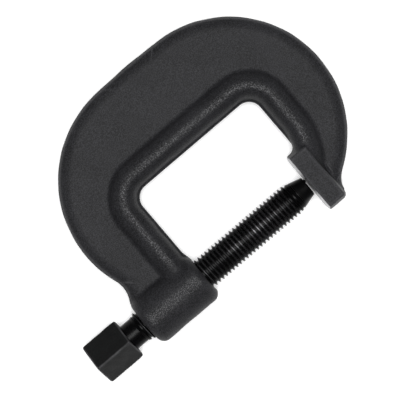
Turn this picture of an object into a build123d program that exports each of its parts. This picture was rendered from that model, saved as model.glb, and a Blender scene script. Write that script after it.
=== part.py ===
"""Drop-forged C-clamp: one-piece frame, full-closing screw with a conical point, square drive head.

Millimetres. Origin at the centre of the anvil face, on the screw's axis. +X runs along the screw
from the drive head towards the anvil, +Y towards the back of the C, +Z up, so that the clamp lies
flat on its side. The parting plane of the forging is Z = 0. The screw is modelled closed.
"""

import math
import os

from build123d import *

# ---- driving dimensions --------------------------------------------------------------------------

# Screw thread, 3/4-10 UNC, right hand, with blunt crests and roots
THREAD_PITCH = 2.54
THREAD_ROOT_R = 8.0
THREAD_DEPTH = 1.5
THREAD_CREST_W = 0.4
THREAD_FOOT_W = 2.1
THREAD_EMBED = 0.3  # how deep a ridge's foot runs into its core
THREAD_PHASE = 0.175  # X of the helix's start, which turns the crests to their place

# Thread of the boss, cut with clearance all round
TAP_CORE_R = 8.3
TAP_CREST_W = 0.6
TAP_FOOT_W = 2.2
TAP_OVERRUN = 8.3  # how far the tap runs past each end of the boss

# Screw
NECK_START = -132.5
THREAD_START = -125.5
THREAD_FULL = -121.6  # where the run-out cone reaches the full crest
POINT_BASE = -8.75
POINT_TIP = -1.15
POINT_TAPER = 15.65  # half angle of the conical point
POINT_EDGE = 0.3
SEAM_GAP = 0.1  # between the screw and its point

# Drive head
HEAD_ACROSS_FLATS = 19.05
HEAD_END = -156.0
HEAD_CORNER_R = 1.0
HEAD_TURN = 8.0  # degrees that the head's near corner leans from +Z
HEAD_END_R = 12.4  # where the 45 degree end chamfer starts
HEAD_NOSE_R = 12.2  # the underside is turned down to this radius
HEAD_NOSE_STEPS = ((1.2, 0.8), (3.6, 1.3))  # how far back the nose is and how much wider
SPIGOT_R = 7.0  # end of the screw that the head is fitted on
SPIGOT_LENGTH = 15.0

# Frame outline in the parting plane
THROAT_LEFT = -78.8
THROAT_RIGHT = 7.15
THROAT_BACK = 58.9
THROAT_CORNER_R = 8.2
PAD_TOP = 20.0
PAD_INNER_R = 4.6  # where the pad's top runs up into the anvil arm
CROWN_R = 423.5
CROWN_CENTRE = (-34.9, -306.7)
SHOULDER_R = 66.0
BOSS_SHOULDER = (-55.3, 50.2)
ANVIL_SHOULDER = (-15.7, 50.2)
WAIST_R = 15.2
WAIST_Y = 23.3
WAIST_END_Y = 16.0
WAIST_FOOT = (-120.3, 9.8)  # where the web meets the end of the boss
HEEL_R = 16.6
HEEL_Y = -19.0
HEEL_END_Y = -14.4
THROAT_LEDGE = (-78.8, 17.2)  # where the throat's left side turns in over the boss
BOSS_TOP_Y = 11.0  # where the throat's left side meets the boss

# Frame sections
WEB_HALF_T = 5.5
WEB_EDGE_R = 4.0
BEAD_OFFSET = 8.85  # from the throat's edge to the crest of the rib round it
BEAD_HALF_W = 9.6
BEAD_HALF_H = 11.6
BEAD_TURN_Y = 34.0  # where the rib starts to curve in behind the pad
BEAD_TURN_R = 39.15
BEAD_START_Y = 2.0
BEAD_END_Y = 8.0

# Boss
BOSS_LEFT = -120.5
BOSS_RIGHT = -77.4
BOSS_R = 15.4
BOSS_EDGE_R = 5.0
BOSS_MOUTH_R = 10.2
BOSS_MOUTH_DEPTH = 1.4
BOSS_CHAMFER_R = 8.8  # where the mouth's countersink ends
BOSS_BORE_R = 6.0  # drilled first, and then cut away by the tap
BOSS_SEAT_R = 12.45  # the hole in the web that the boss fills

# Anvil pad
PAD_BACK = 13.0
PAD_BOTTOM = -18.66
PAD_HALF_H = 15.2
PAD_DRAFT = 7.0
PAD_CORNER_R = 3.4

# Room for cutters to run past what they cut
RING_OVERRUN = 1.0
OVERRUN = 4.0
THROAT_BOTTOM = -30.0
THROAT_HALF_H = 30.0


def meet_outside(centre: tuple, radius: float, other_r: float, other_y: float, side: int) -> tuple:
    """Centre of a circle of other_r at height other_y that touches the first circle from outside."""
    reach = math.sqrt((radius + other_r) ** 2 - (other_y - centre[1]) ** 2)
    return (centre[0] + side * reach, other_y)


def touch_point(centre: tuple, other: tuple, radius: float) -> tuple:
    """Point of the circle round centre that lies towards the other centre."""
    dx = other[0] - centre[0]
    dy = other[1] - centre[1]
    span = math.hypot(dx, dy)
    return (centre[0] + radius * dx / span, centre[1] + radius * dy / span)


def point_on(centre: tuple, radius: float, height: float, side: int) -> tuple:
    """Point of a circle at a given Y, on its left (-1) or right (+1) side."""
    return (centre[0] + side * math.sqrt(radius**2 - (height - centre[1]) ** 2), height)


def arc_between(centre: tuple, radius: float, start: tuple, end: tuple) -> Edge:
    """Shorter arc of a circle from start to end, drawn into the open BuildLine."""
    middle = ((start[0] + end[0]) / 2, (start[1] + end[1]) / 2)
    return ThreePointArc(start, touch_point(centre, middle, radius), end)


def threaded_core(core_r: float, crest_w: float, foot_w: float, start: float, end: float) -> Part:
    """Round core with one right-hand helical ridge along X."""
    with BuildPart() as core:
        with BuildLine() as path:
            Helix(THREAD_PITCH, end - start, core_r, center=(start, 0, 0), direction=(1, 0, 0))
        with BuildSketch(Plane(origin=path.line @ 0, x_dir=(0, 0, 1), z_dir=(0, -1, 0))):
            with BuildLine():
                Polyline(
                    (-THREAD_EMBED, -foot_w / 2),
                    (THREAD_DEPTH, -crest_w / 2),
                    (THREAD_DEPTH, crest_w / 2),
                    (-THREAD_EMBED, foot_w / 2),
                    close=True,
                )
            make_face()
        sweep(path=path.line, is_frenet=True)
        with Locations(Location((start, 0, 0), (0, 90, 0))):
            Cylinder(core_r, end - start, align=(Align.CENTER, Align.CENTER, Align.MIN))
    return core.part


def helix_start(limit: float) -> float:
    """Last X before a limit at which a helix of the common phase can start."""
    return THREAD_PHASE + math.floor((limit - THREAD_PHASE) / THREAD_PITCH) * THREAD_PITCH


# ---- screw: thread, neck and spigot for the head -------------------------------------------------

point_slope = math.tan(math.radians(POINT_TAPER))
crest_r = THREAD_ROOT_R + THREAD_DEPTH
clear_r = crest_r + RING_OVERRUN
screw_end = POINT_BASE - SEAM_GAP
crest_end = POINT_BASE - THREAD_DEPTH / point_slope
run_out_slope = THREAD_DEPTH / (THREAD_FULL - THREAD_START)
thread_start = helix_start(THREAD_START)
rod_end = screw_end + THREAD_PITCH
threaded_rod = threaded_core(THREAD_ROOT_R, THREAD_CREST_W, THREAD_FOOT_W, thread_start, rod_end)

with BuildPart() as screw:
    add(threaded_rod)
    split(bisect_by=Plane.YZ.offset(screw_end), keep=Keep.BOTTOM)

    # thread run-out at the neck
    with BuildSketch(Plane.XY):
        with BuildLine():
            Polyline(
                (thread_start - RING_OVERRUN, THREAD_ROOT_R),
                (THREAD_START, THREAD_ROOT_R),
                (THREAD_FULL + RING_OVERRUN / run_out_slope, clear_r),
                (thread_start - RING_OVERRUN, clear_r),
                close=True,
            )
        make_face()
    revolve(axis=Axis.X, mode=Mode.SUBTRACT)

    # the point's cone, carried on through the last threads
    with BuildSketch(Plane.XY):
        with BuildLine():
            Polyline(
                (screw_end + RING_OVERRUN, THREAD_ROOT_R - RING_OVERRUN * point_slope),
                (crest_end - RING_OVERRUN / point_slope, clear_r),
                (screw_end + RING_OVERRUN, clear_r),
                close=True,
            )
        make_face()
    revolve(axis=Axis.X, mode=Mode.SUBTRACT)

    # neck, and the spigot for the head
    with BuildSketch(Plane.YZ.offset(NECK_START)):
        Circle(THREAD_ROOT_R)
    extrude(amount=thread_start - NECK_START)
    with BuildSketch(Plane.YZ.offset(NECK_START - SPIGOT_LENGTH)):
        Circle(SPIGOT_R)
    extrude(amount=SPIGOT_LENGTH)

# ---- conical point -------------------------------------------------------------------------------

tip_r = THREAD_ROOT_R - (POINT_TIP - POINT_BASE) * point_slope

with BuildPart() as screw_point:
    with BuildSketch(Plane.XY):
        with BuildLine():
            Polyline(
                (POINT_BASE, 0),
                (POINT_BASE, THREAD_ROOT_R),
                (POINT_TIP, tip_r),
                (POINT_TIP, 0),
                close=True,
            )
        make_face()
    revolve(axis=Axis.X)
    chamfer(screw_point.faces().sort_by(Axis.X)[-1].edges(), POINT_EDGE)

# ---- drive head ----------------------------------------------------------------------------------

head_far_r = HEAD_ACROSS_FLATS  # outside the square's corners

with BuildPart() as drive_head:
    with BuildSketch(Plane.YZ.offset(HEAD_END)):
        RectangleRounded(HEAD_ACROSS_FLATS, HEAD_ACROSS_FLATS, HEAD_CORNER_R, rotation=45 + HEAD_TURN)
    extrude(amount=NECK_START - HEAD_END)
    with BuildSketch(Plane.XY):
        with BuildLine():
            Polyline(
                (NECK_START - HEAD_NOSE_STEPS[1][0], head_far_r),
                (HEAD_END + head_far_r - HEAD_END_R, head_far_r),
                (HEAD_END, HEAD_END_R),
                (HEAD_END, 0),
                (NECK_START, 0),
                (NECK_START, HEAD_NOSE_R),
                (NECK_START - HEAD_NOSE_STEPS[0][0], HEAD_NOSE_R + HEAD_NOSE_STEPS[0][1]),
                (NECK_START - HEAD_NOSE_STEPS[1][0], HEAD_NOSE_R + HEAD_NOSE_STEPS[1][1]),
                close=True,
            )
        make_face()
    revolve(axis=Axis.X, mode=Mode.INTERSECT)
    with BuildSketch(Plane.YZ.offset(NECK_START)):
        Circle(SPIGOT_R)
    extrude(amount=-SPIGOT_LENGTH, mode=Mode.SUBTRACT)

# ---- frame ---------------------------------------------------------------------------------------

waist = meet_outside(BOSS_SHOULDER, SHOULDER_R, WAIST_R, WAIST_Y, -1)
heel = meet_outside(ANVIL_SHOULDER, SHOULDER_R, HEEL_R, HEEL_Y, 1)
left_crown = touch_point(CROWN_CENTRE, BOSS_SHOULDER, CROWN_R)
right_crown = touch_point(CROWN_CENTRE, ANVIL_SHOULDER, CROWN_R)
waist_top = touch_point(BOSS_SHOULDER, waist, SHOULDER_R)
waist_end = point_on(waist, WAIST_R, WAIST_END_Y, 1)
heel_top = touch_point(ANVIL_SHOULDER, heel, SHOULDER_R)
heel_end = point_on(heel, HEEL_R, HEEL_END_Y, -1)

bead_left = THROAT_LEFT - BEAD_OFFSET
bead_right = THROAT_RIGHT + BEAD_OFFSET
bead_back = THROAT_BACK + BEAD_OFFSET
bead_turn = (bead_right - BEAD_TURN_R, BEAD_TURN_Y)
bead_end = point_on(bead_turn, BEAD_TURN_R, BEAD_END_Y, 1)

tap_end = BOSS_RIGHT + TAP_OVERRUN
tap = threaded_core(TAP_CORE_R, TAP_CREST_W, TAP_FOOT_W, helix_start(BOSS_LEFT - TAP_OVERRUN), tap_end)

with BuildPart() as boss:
    with BuildSketch(Plane.XY):
        with BuildLine():
            Polyline(
                (BOSS_LEFT + BOSS_MOUTH_DEPTH, BOSS_BORE_R),
                (BOSS_LEFT + BOSS_MOUTH_DEPTH, BOSS_CHAMFER_R),
                (BOSS_LEFT, BOSS_MOUTH_R),
                (BOSS_LEFT, BOSS_R),
                (BOSS_RIGHT, BOSS_R),
                (BOSS_RIGHT, BOSS_MOUTH_R),
                (BOSS_RIGHT - BOSS_MOUTH_DEPTH, BOSS_CHAMFER_R),
                (BOSS_RIGHT - BOSS_MOUTH_DEPTH, BOSS_BORE_R),
                close=True,
            )
        make_face()
        fillet(vertices().group_by(Axis.Y)[-1], BOSS_EDGE_R)
    revolve(axis=Axis.X)
    add(tap, mode=Mode.SUBTRACT)

with BuildPart() as frame:
    # flat web, with rounded edges
    with BuildSketch(Plane.XY):
        with BuildLine():
            arc_between(CROWN_CENTRE, CROWN_R, right_crown, left_crown)
            arc_between(BOSS_SHOULDER, SHOULDER_R, left_crown, waist_top)
            arc_between(waist, WAIST_R, waist_top, waist_end)
            Polyline(
                waist_end,
                WAIST_FOOT,
                (BOSS_LEFT + BOSS_EDGE_R, 0),
                (bead_left, 0),
                (bead_left, bead_back),
                (bead_right, bead_back),
                (bead_right, BEAD_TURN_Y),
                (bead_end[0], BEAD_END_Y),
                (PAD_BACK / 2, heel_end[1]),
                heel_end,
            )
            arc_between(heel, HEEL_R, heel_end, heel_top)
            arc_between(ANVIL_SHOULDER, SHOULDER_R, heel_top, right_crown)
        make_face()
    extrude(amount=WEB_HALF_T, both=True)
    rims = frame.edges().filter_by(lambda edge: abs(edge.center().Z) > WEB_HALF_T / 2)
    fillet(rims.filter_by(GeomType.CIRCLE), WEB_EDGE_R)

    # rib round the throat
    with BuildLine() as bead_path:
        FilletPolyline(
            (bead_left, BEAD_START_Y),
            (bead_left, bead_back),
            (bead_right, bead_back),
            (bead_right, BEAD_TURN_Y),
            radius=THROAT_CORNER_R + BEAD_OFFSET,
        )
        arc_between(bead_turn, BEAD_TURN_R, (bead_right, BEAD_TURN_Y), bead_end)
    with BuildSketch(Plane(origin=(bead_left, BEAD_START_Y, 0), x_dir=(1, 0, 0), z_dir=(0, 1, 0))):
        Ellipse(BEAD_HALF_W, BEAD_HALF_H)
    sweep(path=bead_path.line)

    # drafted anvil pad
    with BuildSketch(Plane.XY):
        with BuildLine():
            Polyline(
                (-OVERRUN, PAD_BOTTOM),
                (PAD_BACK, PAD_BOTTOM),
                (PAD_BACK, PAD_TOP),
                (-OVERRUN, PAD_TOP),
                close=True,
            )
        make_face()
        fillet(vertices().group_by(Axis.X)[-1].sort_by(Axis.Y)[0], PAD_CORNER_R)
    extrude(amount=PAD_HALF_H, both=True, taper=PAD_DRAFT)

    # open throat, which also faces the anvil
    with BuildSketch(Plane.XY):
        with BuildLine():
            Polyline(
                (BOSS_RIGHT + OVERRUN, THROAT_BOTTOM),
                (0, THROAT_BOTTOM),
                (0, PAD_TOP),
                (THROAT_RIGHT, PAD_TOP),
                (THROAT_RIGHT, THROAT_BACK),
                (THROAT_LEFT, THROAT_BACK),
                THROAT_LEDGE,
                (BOSS_RIGHT, BOSS_TOP_Y),
                (BOSS_RIGHT + OVERRUN, BOSS_TOP_Y),
                close=True,
            )
        make_face()
        fillet(vertices().group_by(Axis.Y)[-1], THROAT_CORNER_R)
        fillet(vertices().group_by(Axis.X)[-1].sort_by(Axis.Y)[0], PAD_INNER_R)
    extrude(amount=THROAT_HALF_H, both=True, mode=Mode.SUBTRACT)

    # threaded boss, let into the web and the rib
    with BuildSketch(Plane.YZ.offset(BOSS_LEFT)):
        Circle(BOSS_SEAT_R)
    extrude(amount=BOSS_RIGHT - BOSS_LEFT, mode=Mode.SUBTRACT)
    add(boss.part)

# ---- write each piece ----------------------------------------------------------------------------

os.makedirs("parts", exist_ok=True)

frame.part.label = "frame"
export_step(frame.part, "parts/frame.step")
screw.part.label = "screw"
export_step(screw.part, "parts/screw.step")
screw_point.part.label = "screw_point"
export_step(screw_point.part, "parts/screw_point.step")
drive_head.part.label = "drive_head"
export_step(drive_head.part, "parts/drive_head.step")
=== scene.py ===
"""Looks of a drop-forged C-clamp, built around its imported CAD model.

The frame's forging and the drive head are meshed here from smooth implicit shapes, and the conical
point is turned from a profile. The threaded screw keeps its CAD mesh and gets a finish. Lengths
inside the classes are millimetres in the CAD model's own frame: +X along the screw towards the
anvil, +Y towards the back of the C, +Z up, with the origin at the centre of the anvil face. Meshes
are written in metres.
"""

from __future__ import annotations

import logging
import math
from collections.abc import Callable
from dataclasses import dataclass
from enum import Enum

import bpy
import numpy as np
from mathutils import Matrix, Vector

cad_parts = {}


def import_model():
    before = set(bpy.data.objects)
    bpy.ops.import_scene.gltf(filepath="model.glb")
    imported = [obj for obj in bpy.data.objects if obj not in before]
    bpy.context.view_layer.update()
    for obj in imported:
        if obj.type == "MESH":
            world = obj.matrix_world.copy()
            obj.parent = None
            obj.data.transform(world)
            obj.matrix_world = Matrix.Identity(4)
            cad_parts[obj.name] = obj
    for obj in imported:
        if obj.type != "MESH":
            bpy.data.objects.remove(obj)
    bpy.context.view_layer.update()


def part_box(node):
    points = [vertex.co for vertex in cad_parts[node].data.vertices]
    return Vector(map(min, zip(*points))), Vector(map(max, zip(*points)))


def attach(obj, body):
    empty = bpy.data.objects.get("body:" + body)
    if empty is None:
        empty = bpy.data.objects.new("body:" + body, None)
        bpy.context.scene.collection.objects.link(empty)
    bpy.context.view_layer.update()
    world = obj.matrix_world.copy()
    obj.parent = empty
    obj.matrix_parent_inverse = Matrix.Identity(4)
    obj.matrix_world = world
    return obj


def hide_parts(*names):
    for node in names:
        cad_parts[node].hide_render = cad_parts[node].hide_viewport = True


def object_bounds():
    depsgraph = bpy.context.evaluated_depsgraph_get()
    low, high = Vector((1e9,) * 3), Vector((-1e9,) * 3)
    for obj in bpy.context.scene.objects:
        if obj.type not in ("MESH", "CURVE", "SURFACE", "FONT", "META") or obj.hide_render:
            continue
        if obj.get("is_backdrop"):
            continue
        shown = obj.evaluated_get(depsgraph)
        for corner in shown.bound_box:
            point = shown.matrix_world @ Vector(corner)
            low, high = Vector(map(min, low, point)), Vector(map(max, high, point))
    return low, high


MM = 0.001
LOG = logging.getLogger("c_clamp")

Array = np.ndarray
Point = tuple[float, float]
Triple = tuple[float, float, float]
Colour = tuple[float, float, float]
Field = Callable[[Array, Array, Array], Array]
Socket = bpy.types.NodeSocket


class Body(Enum):
    """CAD bodies that the pieces ride on."""

    FRAME = "frame_body"
    ADVANCE = "advance"
    SCREW = "screw_body"


class Slot(Enum):
    """Names of material slots."""

    FRAME = "forged_frame"
    SCREW = "oiled_screw"
    HEAD = "oiled_head"


class Wear(Enum):
    """Where an oiled finish is rubbed through to the steel; on the screw's crests the lighter
    colour is also a painted highlight.
    """

    NONE = "nowhere"
    EDGES = "on the edges that the mesh marks"
    CRESTS = "beyond a distance from the screw's axis"


# ---- implicit shapes -----------------------------------------------------------------------------


def smooth_min(a: Array, b: Array, reach: float) -> Array:
    """Union of two fields with a concave fillet.

    Args:
        a: First field, negative inside.
        b: Second field.
        reach: How far apart the fields may be, in millimetres, and still blend.

    Returns:
        The blended field.
    """
    near = np.maximum(reach - np.abs(a - b), 0.0) / reach
    return np.minimum(a, b) - near * near * reach / 4


def smooth_max(a: Array, b: Array, reach: float) -> Array:
    """Intersection of two fields with a rounded edge, as smooth_min does for a union."""
    return -smooth_min(-a, -b, reach)


def disc(x: Array, y: Array, centre: Point, radius: float) -> Array:
    """Signed distance to a disc in a plane."""
    return np.hypot(x - centre[0], y - centre[1]) - radius


def sharp_box(x: Array, y: Array, low: Point, high: Point) -> Array:
    """Field of a rectangle with sharp corners.

    Args:
        x: First coordinate.
        y: Second coordinate.
        low: Lowest corner.
        high: Highest corner.

    Returns:
        The field, negative inside.
    """
    across = np.abs(x - (low[0] + high[0]) / 2) - (high[0] - low[0]) / 2
    along = np.abs(y - (low[1] + high[1]) / 2) - (high[1] - low[1]) / 2
    return np.maximum(across, along)


def rounded_box(x: Array, y: Array, low: Point, high: Point, radius: float) -> Array:
    """Signed distance to a rectangle with rounded corners.

    Args:
        x: First coordinate.
        y: Second coordinate.
        low: Lowest corner.
        high: Highest corner.
        radius: Corner radius.

    Returns:
        The distance, negative inside.
    """
    across = np.abs(x - (low[0] + high[0]) / 2) - (high[0] - low[0]) / 2 + radius
    along = np.abs(y - (low[1] + high[1]) / 2) - (high[1] - low[1]) / 2 + radius
    outside = np.hypot(np.maximum(across, 0.0), np.maximum(along, 0.0))
    return outside + np.minimum(np.maximum(across, along), 0.0) - radius


def meet_outside(centre: Point, radius: float, other_r: float, other_y: float, side: int) -> Point:
    """Centre of a circle that touches another circle from outside.

    Args:
        centre: Centre of the first circle.
        radius: Radius of the first circle.
        other_r: Radius of the circle that is placed.
        other_y: Height of its centre.
        side: -1 for the left of the first circle, 1 for the right.

    Returns:
        The placed centre.
    """
    reach = math.sqrt((radius + other_r) ** 2 - (other_y - centre[1]) ** 2)
    return (centre[0] + side * reach, other_y)


@dataclass(frozen=True)
class Ripple:
    """Slow seeded unevenness of a hammered surface."""

    seed: int
    length: float
    height: float
    waves: int = 9
    longest: float = 3.0

    def over(self, x: Array, y: Array, z: Array) -> Array:
        """How far the surface is worn below its full size.

        Args:
            x: First coordinate.
            y: Second coordinate.
            z: Third coordinate.

        Returns:
            Depths in millimetres, for the most part between 0 and twice the ripple's height.
        """
        rng = np.random.default_rng(self.seed)
        total = 0.0
        for _ in range(self.waves):
            way = rng.normal(size=3)
            length = np.linalg.norm(way) * self.length * rng.uniform(1.0, self.longest)
            way *= 2 * math.pi / length
            phase = rng.uniform(0, 2 * math.pi)
            total = total + np.sin(way[0] * x + way[1] * y + way[2] * z + phase)
        return self.height * (1 + total / math.sqrt(self.waves))


class FieldMesher:
    """Turns an implicit shape into a closed quad mesh, one vertex to each cell it crosses.

    The class's own lengths are shares of a cell.
    """

    MARGIN_BELOW = 1.5
    MARGIN_ABOVE = 2.5
    PROBE = 0.1
    LONGEST_MOVE = 0.4
    LEAST_SLOPE = 0.05
    ROUNDS = 3

    def __init__(self, shape: Field, low: Array, high: Array, step: float) -> None:
        """Lays a grid over the shape.

        Args:
            shape: Field in millimetres, negative inside.
            low: Lowest corner of the shape's box.
            high: Highest corner.
            step: Cell size.
        """
        self.shape = shape
        self.step = step
        below, above = self.MARGIN_BELOW * step, self.MARGIN_ABOVE * step
        self.axes = [np.arange(a - below, b + above, step) for a, b in zip(low, high)]

    def mesh(self, name: str) -> bpy.types.Mesh:
        """Meshes the shape.

        Args:
            name: Name of the mesh.

        Returns:
            A Blender mesh in metres, smooth shaded.
        """
        x, y, z = self.axes
        values = self.shape(x[:, None, None], y[None, :, None], z[None, None, :])
        cells, points, rings = self._crossings(values)
        _, index = np.unique(cells.ravel(), return_inverse=True)
        count = np.bincount(index)
        spread = np.repeat(points, 4, axis=0)
        corners = [np.bincount(index, spread[:, axis]) / count for axis in range(3)]
        vertices = self._settle(np.stack(corners, axis=1))
        quads = index.reshape(-1, 4)
        quads[rings] = quads[rings][:, ::-1]
        return to_mesh(name, vertices, quads)

    def _crossings(self, values: Array) -> tuple[Array, Array, Array]:
        """Finds where the surface crosses the grid's edges.

        Args:
            values: The field at the grid's nodes.

        Returns:
            The four cells round each crossed edge, the crossing points, and which rings face back.
        """
        cells, points, backward = [], [], []
        for axis in range(3):
            ahead = [slice(None)] * 3
            behind = [slice(None)] * 3
            ahead[axis] = slice(1, None)
            behind[axis] = slice(None, -1)
            first, second = values[tuple(behind)], values[tuple(ahead)]
            node = np.argwhere((first < 0) != (second < 0))
            a, b = first[tuple(node.T)], second[tuple(node.T)]
            crossing = np.stack([self.axes[k][node[:, k]] for k in range(3)], axis=1)
            crossing[:, axis] += self.step * a / (a - b)
            one, two = (axis + 1) % 3, (axis + 2) % 3
            ring = np.repeat(node[:, None, :], 4, axis=1)
            ring[:, (0, 3), one] -= 1
            ring[:, (0, 1), two] -= 1
            cells.append(np.ravel_multi_index(tuple(np.moveaxis(ring, 2, 0)), values.shape))
            points.append(crossing)
            backward.append(a > 0)
        return np.concatenate(cells), np.concatenate(points), np.concatenate(backward)

    def _settle(self, vertices: Array) -> Array:
        """Moves vertices onto the surface along the field's slope.

        Args:
            vertices: Rough positions.

        Returns:
            Settled positions.
        """
        probe = self.PROBE * self.step
        limit = self.LONGEST_MOVE * self.step
        for _ in range(self.ROUNDS):
            value = self.shape(*vertices.T)
            slope = np.empty_like(vertices)
            for axis in range(3):
                ahead, behind = vertices.copy(), vertices.copy()
                ahead[:, axis] += probe
                behind[:, axis] -= probe
                slope[:, axis] = (self.shape(*ahead.T) - self.shape(*behind.T)) / (2 * probe)
            steep = np.maximum((slope * slope).sum(axis=1), self.LEAST_SLOPE)
            vertices = vertices + slope * np.clip(-value / steep, -limit, limit)[:, None]
        return vertices


# ---- meshes --------------------------------------------------------------------------------------


def to_mesh(name: str, vertices: Array, quads: Array) -> bpy.types.Mesh:
    """Writes vertices in millimetres and quads to a smooth Blender mesh in metres.

    Args:
        name: Name of the mesh.
        vertices: One row to each vertex.
        quads: Four vertex numbers to each face.

    Returns:
        The mesh.
    """
    mesh = bpy.data.meshes.new(name)
    mesh.vertices.add(len(vertices))
    mesh.vertices.foreach_set("co", (vertices * MM).astype(np.float32).ravel())
    mesh.loops.add(quads.size)
    mesh.loops.foreach_set("vertex_index", quads.astype(np.int32).ravel())
    mesh.polygons.add(len(quads))
    mesh.polygons.foreach_set("loop_start", np.arange(0, quads.size, 4, dtype=np.int32))
    mesh.polygons.foreach_set("use_smooth", np.ones(len(quads), dtype=bool))
    mesh.update(calc_edges=True)
    mesh.validate()
    return mesh


def turned(name: str, profile: list[Point], sides: int) -> bpy.types.Mesh:
    """Turns a profile about the screw's axis.

    Args:
        name: Name of the mesh.
        profile: Points (x, radius) from end to end, the first and last on the axis.
        sides: Faces round.

    Returns:
        A closed mesh.
    """
    sharp_edge = math.radians(35)
    vertices = [(profile[0][0], 0.0, 0.0)]
    for x, r in profile[1:-1]:
        for k in range(sides):
            angle = 2 * math.pi * k / sides
            vertices.append((x, r * math.cos(angle), r * math.sin(angle)))
    vertices.append((profile[-1][0], 0.0, 0.0))
    faces = []
    last = len(vertices) - 1
    for k in range(sides):
        following = (k + 1) % sides
        faces.append((0, 1 + following, 1 + k))
        for ring in range(len(profile) - 3):
            here = 1 + ring * sides
            above = here + sides
            faces.append((here + k, here + following, above + following, above + k))
        faces.append((last - sides + k, last - sides + following, last))
    mesh = bpy.data.meshes.new(name)
    mesh.from_pydata([tuple(MM * value for value in v) for v in vertices], [], faces)
    mesh.polygons.foreach_set("use_smooth", np.ones(len(faces), dtype=bool))
    mesh.set_sharp_from_angle(angle=sharp_edge)
    mesh.update()
    return mesh


def place(mesh: bpy.types.Mesh, body: Body, slot: Slot, *nodes: str) -> bpy.types.Object:
    """Puts a mesh in the scene, on its body and in place of its CAD nodes.

    Args:
        mesh: The piece's mesh.
        body: The body that it rides on.
        slot: Not used.
        nodes: CAD nodes that it stands for.

    Returns:
        The new object.
    """
    piece = bpy.data.objects.new(mesh.name, mesh)
    bpy.context.scene.collection.objects.link(piece)
    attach(piece, body.value)
    if nodes:
        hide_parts(*nodes)
    return piece


def points_of(mesh: bpy.types.Mesh) -> Array:
    """Reads where a mesh's vertices are.

    Args:
        mesh: The mesh.

    Returns:
        One row to each vertex, in millimetres.
    """
    flat = np.zeros(len(mesh.vertices) * 3)
    mesh.vertices.foreach_get("co", flat)
    return flat.reshape(-1, 3) / MM


def write_layer(mesh: bpy.types.Mesh, name: str, values: Array) -> None:
    """Writes one value to each vertex, as a named attribute that the finishes read."""
    layer = mesh.attributes.new(name, "FLOAT", "POINT")
    layer.data.foreach_set("value", values.astype(np.float32))


def mark_wear(mesh: bpy.types.Mesh, shape: Field, reach: float, sharpness: float) -> None:
    """Writes how strongly a shape curves outwards at each vertex, as the attribute wear.

    Args:
        mesh: Mesh that was made from the shape.
        shape: The shape's field.
        reach: Distance of the test, in millimetres.
        sharpness: Curvature, per millimetre, that counts as a worn edge.
    """
    points = points_of(mesh)
    around = -6 * shape(*points.T)
    for axis in range(3):
        for way in (-reach, reach):
            moved = points.copy()
            moved[:, axis] += way
            around = around + shape(*moved.T)
    curve = around / (reach * reach)
    write_layer(mesh, "wear", np.clip((curve - sharpness) / (2 * sharpness), 0.0, 1.0))


# ---- finishes ------------------------------------------------------------------------------------


@dataclass(frozen=True)
class Grain:
    """A noise: lumps to a metre, octaves, strength of the fine octaves and scale along the axes."""

    scale: float
    detail: float
    roughness: float = 0.5
    stretch: Triple = (1.0, 1.0, 1.0)


@dataclass(frozen=True)
class Ramp:
    """A straight ramp from start at low to end at high, held beyond them."""

    low: float
    high: float
    start: float = 0.0
    end: float = 1.0


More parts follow.
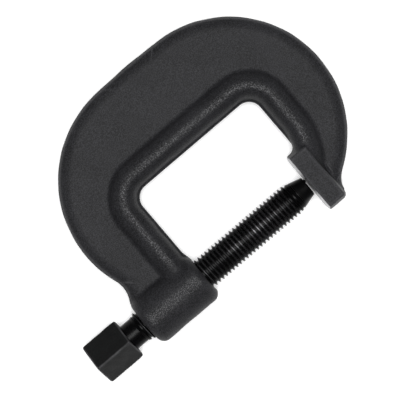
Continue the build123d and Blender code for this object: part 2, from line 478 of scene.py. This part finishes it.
class Shader:
    """Builds one node material."""

    def __init__(self, name: str) -> None:
        """Starts a material with one principled shader.

        Args:
            name: Name of the material.
        """
        self.material = bpy.data.materials.new(name)
        self.material.use_nodes = True
        self.nodes = self.material.node_tree.nodes
        self.links = self.material.node_tree.links
        self.surface = self.nodes["Principled BSDF"]
        self.where = self.nodes.new("ShaderNodeTexCoord").outputs["Object"]

    def noise(self, grain: Grain) -> Socket:
        """Noise over the object's own coordinates.

        Args:
            grain: What the noise is like.

        Returns:
            The noise's value socket.
        """
        mapping = self.nodes.new("ShaderNodeMapping")
        mapping.inputs["Scale"].default_value = grain.stretch
        self.links.new(self.where, mapping.inputs["Vector"])
        node = self.nodes.new("ShaderNodeTexNoise")
        node.inputs["Scale"].default_value = grain.scale
        node.inputs["Detail"].default_value = grain.detail
        node.inputs["Roughness"].default_value = grain.roughness
        self.links.new(mapping.outputs["Vector"], node.inputs["Vector"])
        return node.outputs["Fac"]

    def ramp(self, value: Socket, ramp: Ramp) -> Socket:
        """Takes a value through a ramp.

        Args:
            value: Socket to read.
            ramp: The ramp.

        Returns:
            The result's socket.
        """
        node = self.nodes.new("ShaderNodeMapRange")
        node.inputs["From Min"].default_value = ramp.low
        node.inputs["From Max"].default_value = ramp.high
        node.inputs["To Min"].default_value = ramp.start
        node.inputs["To Max"].default_value = ramp.end
        self.links.new(value, node.inputs["Value"])
        return node.outputs["Result"]

    def blend(self, share: Socket, first: Socket | Colour, second: Socket | Colour) -> Socket:
        """Mixes two colours.

        Args:
            share: Socket, 0 for the first colour and 1 for the second.
            first: Colour or socket.
            second: Colour or socket.

        Returns:
            The colour's socket.
        """
        node = self.nodes.new("ShaderNodeMix")
        node.data_type = "RGBA"
        self.links.new(share, node.inputs["Factor"])
        for socket, colour in ((node.inputs[6], first), (node.inputs[7], second)):
            self._feed(socket, colour)
        return node.outputs[2]

    def combine(self, operation: str, first: Socket | float, second: Socket | float) -> Socket:
        """Joins two values by a Math operation.

        Args:
            operation: Name of the operation.
            first: Number or socket.
            second: Number or socket.

        Returns:
            The result's socket.
        """
        node = self.nodes.new("ShaderNodeMath")
        node.operation = operation
        for socket, value in zip(node.inputs, (first, second)):
            self._feed(socket, value)
        return node.outputs[0]

    def bump(
        self, height: Socket, distance: float, strength: float, below: Socket | None = None
    ) -> Socket:
        """Bumps the surface.

        Args:
            height: Socket of the height, from 0 to 1.
            distance: Height of a full step, in metres.
            strength: Share of the bump that shows.
            below: Normal that it is laid over.

        Returns:
            The normal's socket.
        """
        node = self.nodes.new("ShaderNodeBump")
        node.inputs["Distance"].default_value = distance
        node.inputs["Strength"].default_value = strength
        self.links.new(height, node.inputs["Height"])
        if below is not None:
            self.links.new(below, node.inputs["Normal"])
        return node.outputs["Normal"]

    def attribute(self, name: str) -> Socket:
        """Reads a mesh attribute.

        Args:
            name: Name of the attribute.

        Returns:
            The value's socket.
        """
        node = self.nodes.new("ShaderNodeAttribute")
        node.attribute_name = name
        return node.outputs["Fac"]

    def radius(self) -> Socket:
        """Measures the distance from the screw's axis.

        Returns:
            Socket of the distance, in metres.
        """
        split = self.nodes.new("ShaderNodeSeparateXYZ")
        self.links.new(self.where, split.inputs[0])
        squares = [self.combine("MULTIPLY", split.outputs[k], split.outputs[k]) for k in (1, 2)]
        return self.combine("SQRT", self.combine("ADD", *squares), 0.0)

    def set(self, **values: Socket | float | Colour) -> None:
        """Sets or links sockets of the shader.

        Args:
            values: Numbers, colours or sockets, by the socket's name with _ for a space.
        """
        for name, value in values.items():
            self._feed(self.surface.inputs[name.replace("_", " ")], value)

    def _feed(self, socket: Socket, value: Socket | float | Colour) -> None:
        """Gives an input a number, a colour or a link.

        Args:
            socket: The input.
            value: What it gets.
        """
        if isinstance(value, (int, float)):
            socket.default_value = value
        elif isinstance(value, tuple):
            socket.default_value = (*value, 1.0)
        else:
            self.links.new(value, socket)


@dataclass(frozen=True)
class ForgedOxide:
    """Dark oxide over a shot-blasted forging, rubbed to bare sparks where it lies on the bench;
    these lighter sparks on the rib's crest and the boss's top are also a painted highlight.
    """

    name: str = "forged_oxide"
    dark: Colour = (0.004, 0.004, 0.0043)
    light: Colour = (0.026, 0.026, 0.029)
    worn: Colour = (0.050, 0.050, 0.053)
    # Lighter bare-steel colour of the sparks on the high points: partly bench wear, partly painted
    # highlight.
    bare_steel_glint: Colour = (0.055, 0.055, 0.057)
    cloud: Grain = Grain(38.0, 4.0, 0.6)
    grain: Grain = Grain(1300.0, 3.0, 0.65)
    pits: Grain = Grain(1900.0, 2.0, 0.6)
    sparks: Grain = Grain(1900.0, 1.0)
    pit_shade: Ramp = Ramp(0.42, 0.60, 0.0, 0.8)
    cloud_shade: Ramp = Ramp(0.35, 0.65, 0.0, 0.2)
    wear_patches: Ramp = Ramp(0.3, 0.6)
    spark_spots: Ramp = Ramp(0.54, 0.62)
    roughness: Ramp = Ramp(0.3, 0.7, 0.46, 0.62)
    spark_polish: float = 0.15
    bareness: float = 0.33
    grain_height: float = 0.00022
    pit_height: float = 0.00012
    bump_strength: float = 0.8
    ior: float = 1.5
    sheen: float = 0.13

    def material(self) -> bpy.types.Material:
        """Makes the material.

        Returns:
            The material.
        """
        shader = Shader(self.name)
        grain = shader.noise(self.grain)
        pits = shader.noise(self.pits)
        pit_shade = shader.ramp(pits, self.pit_shade)
        cloud_shade = shader.ramp(shader.noise(self.cloud), self.cloud_shade)
        mottle = shader.combine("ADD", pit_shade, cloud_shade)
        base = shader.blend(mottle, self.dark, self.light)
        patches = shader.ramp(grain, self.wear_patches)
        wear = shader.combine("MULTIPLY", shader.attribute("wear"), patches)
        base = shader.blend(wear, base, self.worn)
        # Painted highlight in part: the high points that the mesh attribute marks turn to lighter,
        # metallic bare steel in spots, which also stands for bench wear.
        sparks = shader.ramp(shader.noise(self.sparks), self.spark_spots)
        bare_and_glint = shader.combine("MULTIPLY", sparks, shader.attribute("rub_and_glint"))
        base = shader.blend(bare_and_glint, base, self.bare_steel_glint)
        metal = shader.combine("MULTIPLY", bare_and_glint, self.bareness)
        polish = shader.combine("MULTIPLY", bare_and_glint, self.spark_polish)
        rough = shader.combine("SUBTRACT", shader.ramp(grain, self.roughness), polish)
        normal = shader.bump(grain, self.grain_height, self.bump_strength)
        normal = shader.bump(pits, self.pit_height, self.bump_strength, normal)
        shader.set(Base_Color=base, Roughness=rough, Normal=normal, Metallic=metal)
        shader.set(IOR=self.ior, Specular_IOR_Level=self.sheen)
        return shader.material


@dataclass(frozen=True)
class GroundSteel:
    """Bright ground face of the anvil, with the grinder's lines along it."""

    name: str = "ground_steel"
    colour: Colour = (0.31, 0.31, 0.32)
    stain: Colour = (0.16, 0.16, 0.17)
    lines: Grain = Grain(900.0, 3.0, 0.7, (1.0, 0.06, 1.0))
    cloud: Grain = Grain(90.0, 3.0)
    stains: Ramp = Ramp(0.4, 0.7)
    roughness: Ramp = Ramp(0.3, 0.7, 0.30, 0.48)
    line_height: float = 0.00005
    bump_strength: float = 0.5

    def material(self) -> bpy.types.Material:
        """Makes the material.

        Returns:
            The material.
        """
        shader = Shader(self.name)
        lines = shader.noise(self.lines)
        stains = shader.ramp(shader.noise(self.cloud), self.stains)
        base = shader.blend(stains, self.colour, self.stain)
        rough = shader.ramp(lines, self.roughness)
        normal = shader.bump(lines, self.line_height, self.bump_strength)
        shader.set(Base_Color=base, Roughness=rough, Normal=normal, Metallic=1.0)
        return shader.material


@dataclass(frozen=True)
class OiledOxide:
    """Black oxide with a film of oil, for the screw, its point and its head."""

    name: str
    wear: Wear = Wear.EDGES
    base: Colour = (0.0010, 0.0010, 0.0011)
    patch: Colour = (0.0024, 0.0024, 0.0026)
    # Lighter rubbed colour: edge wear on the head, and on the thread's crests also painted
    # highlight lines.
    rubbed_and_glint: Colour = (0.07, 0.07, 0.073)
    cloud: Grain = Grain(70.0, 4.0, 0.6)
    grain: Grain = Grain(1100.0, 3.0, 0.6)
    cloud_shade: Ramp = Ramp(0.3, 0.7)
    grain_shade: Ramp = Ramp(0.35, 0.6)
    wear_patches: Ramp = Ramp(0.4, 0.65, 0.15, 0.9)
    roughness: Ramp = Ramp(0.3, 0.7, 0.26, 0.40)
    bareness: float = 0.7
    rub_glint_radius: float = 9.3
    rub_glint_edge: float = 0.15
    grain_height: float = 0.00008
    bump_strength: float = 0.6
    ior: float = 1.5
    sheen: float = 0.12

    def material(self) -> bpy.types.Material:
        """Makes the material.

        Returns:
            The material.
        """
        shader = Shader(self.name)
        cloud = shader.noise(self.cloud)
        grain = shader.noise(self.grain)
        cloud_shade = shader.ramp(cloud, self.cloud_shade)
        mottle = shader.combine("MULTIPLY", cloud_shade, shader.ramp(grain, self.grain_shade))
        base = shader.blend(mottle, self.base, self.patch)
        metal = 0.0
        if self.wear is not Wear.NONE:
            patches = shader.ramp(cloud, self.wear_patches)
            bare_and_glint = shader.combine("MULTIPLY", self._rub_and_glint(shader), patches)
            base = shader.blend(bare_and_glint, base, self.rubbed_and_glint)
            metal = shader.combine("MULTIPLY", bare_and_glint, self.bareness)
        rough = shader.ramp(grain, self.roughness)
        normal = shader.bump(grain, self.grain_height, self.bump_strength)
        shader.set(Base_Color=base, Roughness=rough, Normal=normal, Metallic=metal)
        shader.set(IOR=self.ior, Specular_IOR_Level=self.sheen)
        return shader.material

    def _rub_and_glint(self, shader: Shader) -> Socket:
        """Finds where the finish is rubbed, which on the thread's crests is also where highlight
        lines are painted.

        Args:
            shader: Shader that is being built.

        Returns:
            Socket, 1 where it is rubbed, and on the crests where the highlight is painted, 0
            elsewhere.
        """
        if self.wear is Wear.EDGES:
            return shader.attribute("wear")
        # Painted highlight and wear: the thread's crests beyond a radius turn lighter and metallic.
        crests = Ramp(self.rub_glint_radius * MM, (self.rub_glint_radius + self.rub_glint_edge) * MM)
        return shader.ramp(shader.radius(), crests)


# ---- frame ---------------------------------------------------------------------------------------


@dataclass
class ForgedFrame:
    """The forging: web, rib, boss and anvil pad in one smooth skin.

    The outline is two shoulder circles under a flat crown arc, with an arm down to the boss that
    narrows at its waist and a foot behind the anvil that narrows at its heel.
    """

    throat_left: float = -78.8
    throat_right: float = 7.15
    throat_back: float = 58.9
    throat_corner: float = 8.2
    throat_lap: float = 10.0
    throat_blend: float = 1.5
    wall_turn_y: float = 17.2
    wall_turn_height: float = 6.2
    crown_centre: Point = (-34.9, -306.7)
    crown_r: float = 423.5
    shoulder_r: float = 66.0
    boss_shoulder: Point = (-55.3, 50.2)
    anvil_shoulder: Point = (-15.7, 50.2)
    arm_low: Point = (-119.0, 0.0)
    arm_high: Point = (-81.0, 28.2)
    waist_r: float = 15.2
    waist_y: float = 23.3
    foot_low: Point = (-10.0, -14.4)
    foot_high: Point = (20.0, -5.3)
    heel_r: float = 16.6
    heel_y: float = -19.0
    web_half: float = 5.5
    web_corner: float = 0.5
    web_root: float = 3.0
    web_root_width: float = 4.0
    land_half: float = 1.1
    land_width: float = 0.5
    edge_width: float = 6.8
    edge_bevel: float = 0.2
    bead_offset: float = 8.85
    bead_half_width: float = 9.5
    bead_inner_half: float = 7.6
    bead_half_height: float = 11.5
    bead_turn_y: float = 34.0
    bead_turn_r: float = 39.15
    boss_left: float = -120.5
    boss_right: float = -77.4
    boss_r: float = 15.35
    boss_round: float = 5.0
    bore_r: float = 9.85
    bore_reach: float = 20.0
    mouth_r: float = 10.3
    mouth_round: float = 0.5
    pad_left: float = -30.0
    pad_top: float = 20.0
    pad_bottom: float = -18.6
    pad_back: float = 13.0
    pad_half: float = 15.15
    pad_inner_r: float = 4.6
    pad_corner_r: float = 3.0
    pad_side_r: float = 1.6
    draft: float = math.tan(math.radians(7.0))
    rib_fillet: float = 1.7
    boss_fillet: float = 1.7
    pad_fillet: float = 2.0
    edge_round: float = 0.9
    ripple: Ripple = Ripple(seed=4, length=9.0, height=0.09)
    beyond: float = 200.0
    least_steep: float = 1e-6
    step: float = 0.6
    quick_step: float = 0.9
    wear_reach: float = 0.8
    wear_sharpness: float = 0.22
    # Depth below the high points over which the wear and the painted crest highlight fade in.
    rub_glint_depth: float = 0.45
    pad_margin: float = 1.0
    face_depth: float = 0.5
    face_lean: float = 0.9
    finish: ForgedOxide = ForgedOxide()
    face_finish: GroundSteel = GroundSteel()

    def __post_init__(self) -> None:
        """Works out the circles that touch the two shoulders."""
        left, right, r = self.boss_shoulder, self.anvil_shoulder, self.shoulder_r
        self.waist = meet_outside(left, r, self.waist_r, self.waist_y, -1)
        self.heel = meet_outside(right, r, self.heel_r, self.heel_y, 1)

    def outline(self, x: Array, y: Array) -> Array:
        """The forging's outer outline in the parting plane, with the throat filled.

        Args:
            x: First coordinate.
            y: Second coordinate.

        Returns:
            The distance, negative inside.
        """
        left = disc(x, y, self.boss_shoulder, self.shoulder_r)
        right = disc(x, y, self.anvil_shoulder, self.shoulder_r)
        crown = disc(x, y, self.crown_centre, self.crown_r)
        past_left, past_right = self.boss_shoulder[0] - x, x - self.anvil_shoulder[0]
        for limit in (past_left, past_right, self.anvil_shoulder[1] - y):
            crown = np.maximum(crown, limit)
        blob = np.minimum(np.minimum(left, right), crown)
        arm = sharp_box(x, y, self.arm_low, self.arm_high)
        arm = np.maximum(arm, -disc(x, y, self.waist, self.waist_r))
        foot = sharp_box(x, y, self.foot_low, self.foot_high)
        foot = np.maximum(foot, -disc(x, y, self.heel, self.heel_r))
        return np.minimum(np.minimum(blob, arm), foot)

    def window(self, x: Array, y: Array) -> Array:
        """Distance to the throat with its left side carried straight down, negative inside it."""
        low, high = (self.throat_left, -self.beyond), (self.throat_right, self.throat_back)
        return rounded_box(x, y, low, high, self.throat_corner)

    def throat(self, x: Array, y: Array) -> Array:
        """The open space between the jaws, which steps back over the pad and round the boss.

        Args:
            x: First coordinate.
            y: Second coordinate.

        Returns:
            The distance, negative inside it.
        """
        low, high = (-self.beyond, self.pad_top), (self.throat_right, self.beyond)
        over_pad = rounded_box(x, y, low, high, self.pad_inner_r)
        upper = np.maximum(self.window(x, y), over_pad)
        lower = np.maximum(x, y - self.pad_top - self.throat_lap)
        turn_in = np.clip((self.wall_turn_y - y) / self.wall_turn_height, 0.0, 1.0)
        left = self.throat_left + (self.boss_right - self.throat_left) * turn_in - x
        return np.maximum(smooth_min(upper, lower, self.throat_blend), left)

    def bead(self, x: Array, y: Array, z: Array) -> Array:
        """The rounded rib that runs round the throat and in behind the pad.

        Args:
            x: First coordinate.
            y: Second coordinate.
            z: Third coordinate.

        Returns:
            The distance, negative inside.
        """
        turn = (self.throat_right + self.bead_offset - self.bead_turn_r, self.bead_turn_y)
        bend = disc(x, y, turn, self.bead_turn_r)
        straight = self.window(x, y) - self.bead_offset
        away = np.where((y < self.bead_turn_y) & (x > turn[0]), bend, straight)
        a = np.where(away < 0, self.bead_inner_half, self.bead_half_width)
        b = self.bead_half_height
        near = np.sqrt((away / a) ** 2 + (z / b) ** 2)
        steep = np.sqrt((away / a**2) ** 2 + (z / b**2) ** 2)
        rib = near * (near - 1) / np.maximum(steep, self.least_steep)
        return np.maximum(rib, -y)

    def web(self, x: Array, y: Array, z: Array) -> Array:
        """The flat web, rounded towards its outer edge, with a trimmed land where the dies met.

        Args:
            x: First coordinate.
            y: Second coordinate.
            z: Third coordinate.

        Returns:
            The distance, negative inside.
        """
        inside = -self.outline(x, y)
        part = np.clip((inside - self.land_width) / self.edge_width, 0.0, 1.0)
        arch = np.sqrt(1 - (1 - part) ** 2)
        rise = self.edge_bevel * part + (1 - self.edge_bevel) * arch
        root = np.clip((self.window(x, y) - self.web_root) / self.web_root_width, 0.0, 1.0)
        half = self.land_half + (self.web_half - self.land_half) * np.minimum(rise, root)
        return smooth_max(-inside, np.abs(z) - half, self.web_corner)

    def boss(self, x: Array, y: Array, z: Array) -> Array:
        """The round boss with its rounded ends."""
        low, high = (self.boss_left, -self.boss_r), (self.boss_right, self.boss_r)
        return rounded_box(x, np.sqrt(y * y + z * z), low, high, self.boss_round)

    def bore(self, x: Array, y: Array, z: Array) -> Array:
        """The hole through the boss, countersunk at both ends.

        Args:
            x: First coordinate.
            y: Second coordinate.
            z: Third coordinate.

        Returns:
            The distance, positive inside the hole.
        """
        into = np.minimum(np.maximum(self.boss_left - x, x - self.boss_right), 0.0)
        hole = np.maximum(self.bore_r, self.mouth_r + into) - np.sqrt(y * y + z * z)
        return np.minimum(hole, self.boss_right + self.bore_reach - x)

    def pad(self, x: Array, y: Array, z: Array) -> Array:
        """The drafted anvil pad.

        Args:
            x: First coordinate.
            y: Second coordinate.
            z: Third coordinate.

        Returns:
            The distance, negative inside.
        """
        low, high = (self.pad_left, self.pad_bottom), (self.pad_back, self.pad_top)
        side = rounded_box(x, y, low, high, self.pad_corner_r) + np.abs(z) * self.draft
        return smooth_max(side, np.abs(z) - self.pad_half, self.pad_side_r)

    def shape(self, x: Array, y: Array, z: Array) -> Array:
        """The whole forging.

        Args:
            x: First coordinate.
            y: Second coordinate.
            z: Third coordinate.

        Returns:
            The distance, negative inside.
        """
        body = smooth_min(self.web(x, y, z), self.bead(x, y, z), self.rib_fillet)
        body = smooth_min(body, self.boss(x, y, z), self.boss_fillet)
        body = smooth_min(body, self.pad(x, y, z), self.pad_fillet)
        body = body + self.ripple.over(x, y, z)
        body = smooth_max(body, -self.throat(x, y), self.edge_round)
        return smooth_max(body, self.bore(x, y, z), self.mouth_round)

    def build(self) -> bpy.types.Object:
        """Meshes and dresses the forging.

        Returns:
            The piece.
        """
        low, high = (np.array(corner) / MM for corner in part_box("frame"))
        step = self.step
        mesh = FieldMesher(self.shape, low, high, step).mesh("forged_frame")
        mark_wear(mesh, self.shape, self.wear_reach, self.wear_sharpness)
        self.mark_rub_and_glint(mesh)
        piece = place(mesh, Body.FRAME, Slot.FRAME, "frame")
        self.dress(mesh)
        return piece

    def mark_rub_and_glint(self, mesh: bpy.types.Mesh) -> None:
        """Writes the forging's high points, where it lies on the bench and rubs and where the crest
        highlight is painted, as a mesh attribute.

        Args:
            mesh: The forging's mesh.
        """
        x, y, z = points_of(mesh).T
        on_boss = (x < self.boss_right) & (np.abs(y) < self.boss_r)
        top = np.where(on_boss, self.boss_r, self.bead_half_height) - 2 * self.ripple.height
        # Painted highlight and bench wear: a band of the highest points on the rib and boss, on
        # both faces.
        rub_and_glint = np.clip((np.abs(z) - top + self.rub_glint_depth) / self.rub_glint_depth, 0.0, 1.0)
        on_pad = (x > -self.pad_margin) & (y < self.pad_top)
        write_layer(mesh, "rub_and_glint", np.where(on_pad, 0.0, rub_and_glint))

    def dress(self, mesh: bpy.types.Mesh) -> None:
        """Gives the forging its oxide and the anvil its ground face.

        Args:
            mesh: The forging's mesh.
        """
        mesh.materials.append(self.finish.material())
        mesh.materials.append(self.face_finish.material())
        centres = np.zeros(len(mesh.polygons) * 3)
        normals = np.zeros(len(mesh.polygons) * 3)
        mesh.polygons.foreach_get("center", centres)
        mesh.polygons.foreach_get("normal", normals)
        on_face = np.abs(centres[0::3]) < self.face_depth * MM
        ground = on_face & (normals[0::3] < -self.face_lean)
        mesh.polygons.foreach_set("material_index", ground.astype(np.int32))


# ---- screw, point and head -----------------------------------------------------------------------


@dataclass
class ThreadedScrew:
    """The threaded rod, kept from the CAD model, and a small dark nub on its end."""

    nub_at: Point = (3.2, 1.0)
    nub_r: float = 1.1
    nub_root: float = 0.3
    nub_gap: float = 0.2
    nub_rings: int = 4
    nub_sides: int = 20
    # Its crests carry a lighter rubbed colour that is partly a painted highlight.
    finish: OiledOxide = OiledOxide(
        "oiled_thread", Wear.CRESTS, sheen=0.05, roughness=Ramp(0.3, 0.7, 0.22, 0.34)
    )
    nub_finish: OiledOxide = OiledOxide("oiled_nub", Wear.NONE)

    def dress(self) -> bpy.types.Object:
        """Gives the CAD screw its oiled finish.

        Returns:
            The CAD screw.
        """
        screw = bpy.data.objects["screw"]
        finish = self.finish.material()
        for holder in screw.material_slots:
            holder.material = finish
        return screw

    def build(self) -> bpy.types.Object:
        """Builds a small dark nub off the axis on the point's flat end, reaching to within a gap of
        the anvil face.

        Returns:
            The piece.
        """
        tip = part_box("screw_point")[1].x / MM
        length = -tip - self.nub_gap
        root = tip - self.nub_root
        profile = [(root, 0.0), (root, self.nub_r)]
        for k in range(self.nub_rings + 1):
            turn = k / (self.nub_rings + 1) * math.pi / 2
            profile.append((tip + length * math.sin(turn), self.nub_r * math.cos(turn)))
        profile.append((tip + length, 0.0))
        mesh = turned("tip_nub", profile, self.nub_sides)
        mesh.transform(Matrix.Translation((0.0, self.nub_at[0] * MM, self.nub_at[1] * MM)))
        mesh.materials.append(self.nub_finish.material())
        return place(mesh, Body.SCREW, Slot.SCREW)


@dataclass
class ConePoint:
    """The turned conical point on the screw's end."""

    slope: float = math.tan(math.radians(15.65))
    flat_share: float = 0.5
    back_corner: tuple[Point, ...] = ((0.0, 0.15), (0.1, 0.05))
    cone_start: float = 0.2
    rings: int = 10
    edge: float = 0.35
    edge_turns: tuple[int, ...] = (30, 60, 90)
    sides: int = 96
    finish: OiledOxide = OiledOxide("oiled_point", Wear.NONE, grain_height=0.00004)

    def build(self) -> bpy.types.Object:
        """Turns the point from its profile.

        Returns:
            The piece.
        """
        low, high = (np.array(corner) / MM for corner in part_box("screw_point"))
        back, tip, base_r = low[0], high[0], high[1]
        tip_r = base_r - (tip - back) * self.slope
        profile = [(back, 0.0), (back, base_r * self.flat_share)]
        profile += [(back + ahead, base_r - inset) for ahead, inset in self.back_corner]
        first, last = back + self.cone_start, tip - self.edge
        for k in range(self.rings + 1):
            x = first + k / self.rings * (last - first)
            profile.append((x, base_r - (x - back) * self.slope))
        for turn in self.edge_turns:
            angle = math.radians(turn)
            inset = self.edge * (1 - math.cos(angle))
            profile.append((tip - self.edge * (1 - math.sin(angle)), tip_r - inset))
        profile += [(tip, tip_r * self.flat_share), (tip, 0.0)]
        mesh = turned("cone_point", profile, self.sides)
        mesh.materials.append(self.finish.material())
        return place(mesh, Body.ADVANCE, Slot.SCREW, "screw_point")


@dataclass
class DriveHead:
    """The square head that the wrench drives."""

    flats: float = 19.05
    corner_r: float = 1.2
    turn: float = math.radians(53.0)
    end_r: float = 12.4
    nose_r: float = 12.1
    nose_length: float = 3.8
    nose_swell: float = 1.5
    nose_reach: float = 4.0
    nose_steepness: float = 0.9
    edge_round: float = 0.7
    ripple: Ripple = Ripple(seed=7, length=5.0, height=0.05)
    step: float = 0.35
    quick_step: float = 0.6
    wear_reach: float = 0.4
    wear_sharpness: float = 0.35
    finish: OiledOxide = OiledOxide(
        "oiled_head",
        base=(0.0022, 0.0024, 0.0025),
        patch=(0.0052, 0.0055, 0.0056),
        roughness=Ramp(0.3, 0.7, 0.42, 0.6),
        bareness=0.5,
        grain_height=0.00014,
        sheen=0.14,
    )

    def __post_init__(self) -> None:
        """Reads the head's length from its CAD box."""
        self.low, self.high = (np.array(corner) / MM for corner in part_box("drive_head"))

    def shape(self, x: Array, y: Array, z: Array) -> Array:
        """The square bar, chamfered at its end and rounded off towards the neck.

        Args:
            x: First coordinate.
            y: Second coordinate.
            z: Third coordinate.

        Returns:
            The distance, negative inside.
        """
        across = y * math.cos(self.turn) + z * math.sin(self.turn)
        along = z * math.cos(self.turn) - y * math.sin(self.turn)
        half = self.flats / 2
        bar = rounded_box(across, along, (-half, -half), (half, half), self.corner_r)
        bar = bar + self.ripple.over(x, y, z)
        r = np.sqrt(y * y + z * z)
        ends = np.maximum(self.low[0] - x, x - self.high[0])
        outer = (r - self.end_r - (x - self.low[0])) * math.sqrt(0.5)
        short = np.clip((self.high[0] - x) / self.nose_length, 0.0, self.nose_reach)
        inner = (r - self.nose_r - self.nose_swell * np.sqrt(short)) * self.nose_steepness
        body = smooth_max(bar, outer, self.edge_round)
        body = smooth_max(body, inner, self.edge_round)
        return smooth_max(body, ends, self.edge_round)

    def build(self) -> bpy.types.Object:
        """Meshes the head.

        Returns:
            The piece.
        """
        step = self.step
        mesh = FieldMesher(self.shape, self.low, self.high, step).mesh("square_head")
        mark_wear(mesh, self.shape, self.wear_reach, self.wear_sharpness)
        mesh.materials.append(self.finish.material())
        return place(mesh, Body.SCREW, Slot.HEAD, "drive_head")


# ---- studio --------------------------------------------------------------------------------------


@dataclass
class Studio:
    """Pale floor, soft light and the camera above the clamp as it lies on its side.

    Lengths are metres and powers are watts.
    """

    height: float = 1.1
    lens: float = 176.9
    roll: float = math.radians(-40.4)
    aim: Point = (-0.0522, 0.0330)
    clip: Point = (0.05, 20.0)
    floor_size: float = 6.0
    floor_colour: Colour = (0.93, 0.93, 0.93)
    floor_roughness: float = 0.8
    floor_glow: float = 0.2
    ambient: float = 0.18
    ambient_colour: Colour = (1.0, 1.0, 1.0)
    box_height: float = 1.6
    box_size: float = 0.7
    box_power: float = 32.0
    left_fill: Triple = (-1.1, -0.9, 0.35)
    right_fill: Triple = (1.1, -0.5, 0.35)
    fill_size: float = 0.8
    fill_power: float = 1.2

    def build(self) -> None:
        """Makes the floor, the lights and the camera."""
        self._floor()
        self._lights()
        self._camera()

    def _floor(self) -> None:
        """Lays the floor under the clamp's lowest point."""
        low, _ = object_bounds()
        half = self.floor_size / 2
        mesh = bpy.data.meshes.new("floor")
        corners = [(half * a, half * b, low.z) for a, b in ((-1, -1), (1, -1), (1, 1), (-1, 1))]
        mesh.from_pydata(corners, [], [(0, 1, 2, 3)])
        floor = bpy.data.objects.new("floor", mesh)
        bpy.context.scene.collection.objects.link(floor)
        shader = Shader("pale_floor")
        shader.set(Base_Color=self.floor_colour, Roughness=self.floor_roughness)
        shader.set(Emission_Color=self.floor_colour, Emission_Strength=self.floor_glow)
        mesh.materials.append(shader.material)
        floor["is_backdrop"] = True

    def _lights(self) -> None:
        """Hangs the soft boxes and sets the even surroundings."""
        world = bpy.data.worlds.new("studio")
        world.use_nodes = True
        back = world.node_tree.nodes["Background"]
        back.inputs["Color"].default_value = (*self.ambient_colour, 1.0)
        back.inputs["Strength"].default_value = self.ambient
        bpy.context.scene.world = world
        over = (*self.aim, self.box_height)
        self._soft_box("overhead", over, (*self.aim, 0.0), self.box_size, self.box_power)
        low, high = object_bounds()
        middle = tuple((low + high) / 2)
        for name, side in (("left_fill", self.left_fill), ("right_fill", self.right_fill)):
            self._soft_box(name, side, middle, self.fill_size, self.fill_power)

    def _soft_box(self, name: str, at: Triple, aim: Triple, size: float, power: float) -> None:
        """Hangs one square soft box.

        Args:
            name: Its name.
            at: Where it hangs.
            aim: What it points at.
            size: Its side.
            power: Its power.
        """
        lamp = bpy.data.lights.new(name, "AREA")
        lamp.size = size
        lamp.energy = power
        box = bpy.data.objects.new(name, lamp)
        bpy.context.scene.collection.objects.link(box)
        box.location = at
        box.rotation_euler = (Vector(aim) - Vector(at)).to_track_quat("-Z", "Y").to_euler()

    def _camera(self) -> None:
        """Sets the camera straight above."""
        data = bpy.data.cameras.new("camera")
        data.lens = self.lens
        data.clip_start, data.clip_end = self.clip
        camera = bpy.data.objects.new("camera", data)
        bpy.context.scene.collection.objects.link(camera)
        camera.location = (*self.aim, self.height)
        camera.rotation_euler = (0.0, 0.0, self.roll)
        bpy.context.scene.camera = camera
        bpy.context.scene.view_settings.view_transform = "Standard"


def report(piece: bpy.types.Object) -> None:
    """Logs a finished piece."""
    LOG.info("%s: %d faces", piece.name, len(piece.data.polygons))


def main() -> None:
    """Builds the clamp and its studio."""
    logging.basicConfig(level=logging.INFO, format="%(name)s: %(message)s")
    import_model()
    report(ForgedFrame().build())
    screw = ThreadedScrew()
    report(screw.dress())
    report(screw.build())
    report(ConePoint().build())
    report(DriveHead().build())
    Studio().build()


if __name__ == "__main__":
    main()
